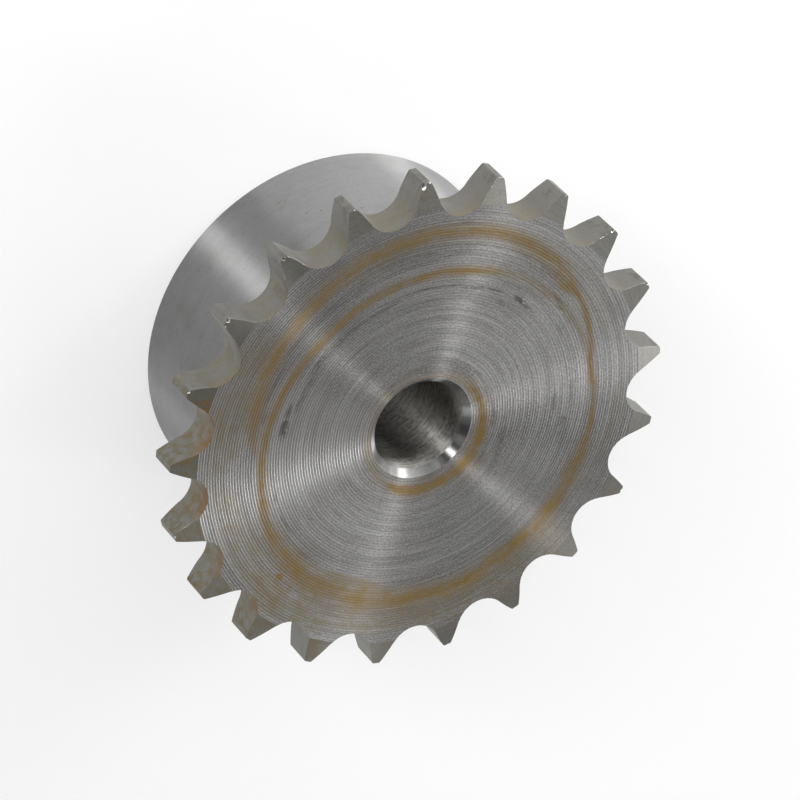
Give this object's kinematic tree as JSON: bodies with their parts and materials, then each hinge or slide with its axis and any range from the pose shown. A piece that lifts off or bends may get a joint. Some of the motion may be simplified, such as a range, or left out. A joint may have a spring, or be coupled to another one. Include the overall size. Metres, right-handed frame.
{
  "type": "chain sprocket",
  "caption": "Toothed disc with a plain cylindrical hub on one side and a central bore, which drives or is driven by a roller chain.",
  "frame": {"origin": "on the bore axis, in the plane of the hub's free end, on which the sprocket stands", "axes": "+Z along the bore axis from the hub's free end to the toothed plate; +X through the middle of a tooth gap; +Y completes a right-handed frame"},
  "size_m": [0.1109, 0.1112, 0.045],
  "materials": {
    "steel": "turned and hobbed bare steel with a coarse feed groove on the toothed face, a finely turned hub and light rust stains"
  },
  "bodies": {
    "root": {"sprocket": "steel"}
  },
  "joints": []
}
